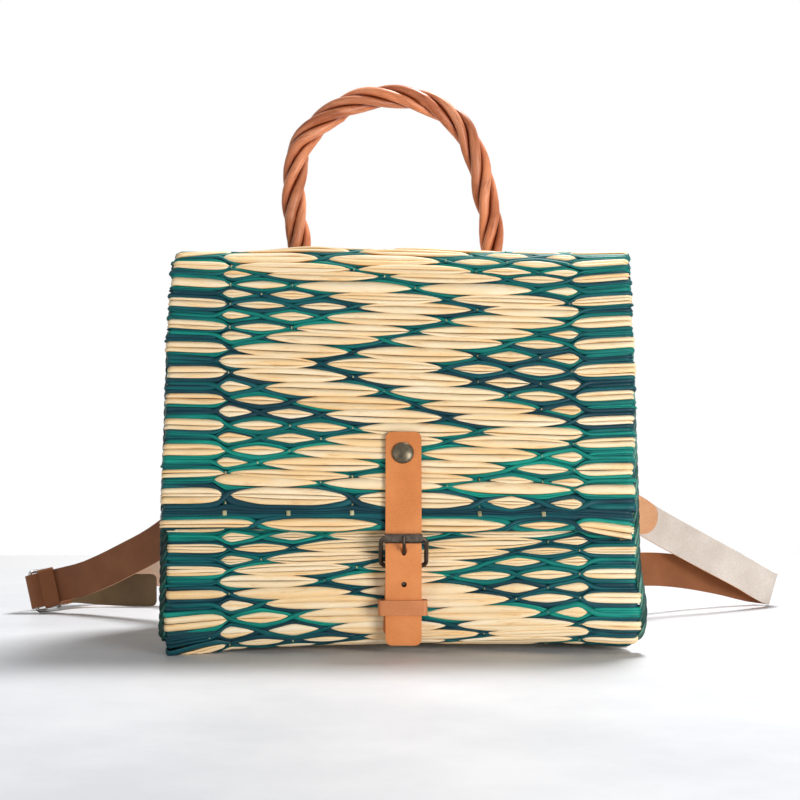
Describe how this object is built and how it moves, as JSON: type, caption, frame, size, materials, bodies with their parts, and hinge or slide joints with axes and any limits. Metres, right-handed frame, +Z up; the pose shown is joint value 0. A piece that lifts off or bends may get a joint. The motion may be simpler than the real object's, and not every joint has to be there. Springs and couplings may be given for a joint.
{
  "type": "woven basket with strap",
  "caption": "Lidded reed basket worn on the back, woven in natural and teal reeds, with a twisted willow handle, a buckled leather closure and leather shoulder straps.",
  "frame": {"origin": "centre of the base mat's bottom face, where the basket stands", "axes": "+X along the basket's width to the viewer's right, +Y from the front with the closure to the back, +Z up"},
  "size_m": [0.5771, 0.2731, 0.3774],
  "materials": {
    "reed": "woven reeds, natural straw and teal, low sheen",
    "binding": "twisted green reed cord",
    "willow": "peeled reddish willow, satin",
    "tan_leather": "smooth tan grain leather",
    "brown_leather": "brown grain leather, pale flesh side",
    "dark_brass": "antique brass, darkened",
    "steel_wire": "bent steel wire"
  },
  "bodies": {
    "basket": {"base_mat": "reed", "front_mat": "reed", "back_mat": "reed", "left_side_panel": "reed", "right_side_panel": "reed", "front_left_cord": "binding", "front_right_cord": "binding", "back_left_cord": "binding", "back_right_cord": "binding", "handle_rod_1": "willow", "handle_rod_2": "willow", "handle_rod_3": "willow", "handle_rod_4": "willow", "handle_lashing_left": "reed", "handle_lashing_right": "reed", "tab_rivet_1": "dark_brass", "tab_rivet_2": "dark_brass", "buckle_tab": "tan_leather", "keeper_loop": "tan_leather", "strap_ring_left": "steel_wire", "upper_strap_left": "brown_leather", "upper_strap_left_rivet_1": "dark_brass", "upper_strap_left_rivet_2": "dark_brass", "lower_strap_left": "brown_leather", "lower_strap_left_rivet_1": "dark_brass", "lower_strap_left_rivet_2": "dark_brass", "strap_keeper_left": "brown_leather", "strap_ring_right": "steel_wire", "upper_strap_right": "brown_leather", "upper_strap_right_rivet_1": "dark_brass", "upper_strap_right_rivet_2": "dark_brass", "lower_strap_right": "brown_leather", "lower_strap_right_rivet_1": "dark_brass", "lower_strap_right_rivet_2": "dark_brass", "strap_keeper_right": "brown_leather"},
    "lid": {"lid_mat": "reed", "closure_strap": "tan_leather", "closure_rivet": "dark_brass"},
    "buckle": {"buckle_frame": "dark_brass", "buckle_sleeve": "dark_brass"},
    "prong": {"buckle_prong": "dark_brass"}
  },
  "joints": [
    {"name": "lid_hinge", "type": "hinge", "parent": "basket", "child": "lid", "pos_m": [0, 0.016, 0.2583], "axis": [-1, 0, 0], "range_deg": [0, 95], "deforming": ["closure_strap"]},
    {"name": "buckle_swing", "type": "hinge", "parent": "basket", "child": "buckle", "pos_m": [0.0022, -0.0754, 0.0564], "axis": [1, 0, 0], "range_deg": [0, 40], "deforming": ["closure_strap"]},
    {"name": "prong_swing", "type": "hinge", "parent": "buckle", "child": "prong", "pos_m": [0.0022, -0.0754, 0.0564], "axis": [1, 0, 0], "range_deg": [0, 55], "deforming": ["closure_strap"]}
  ]
}
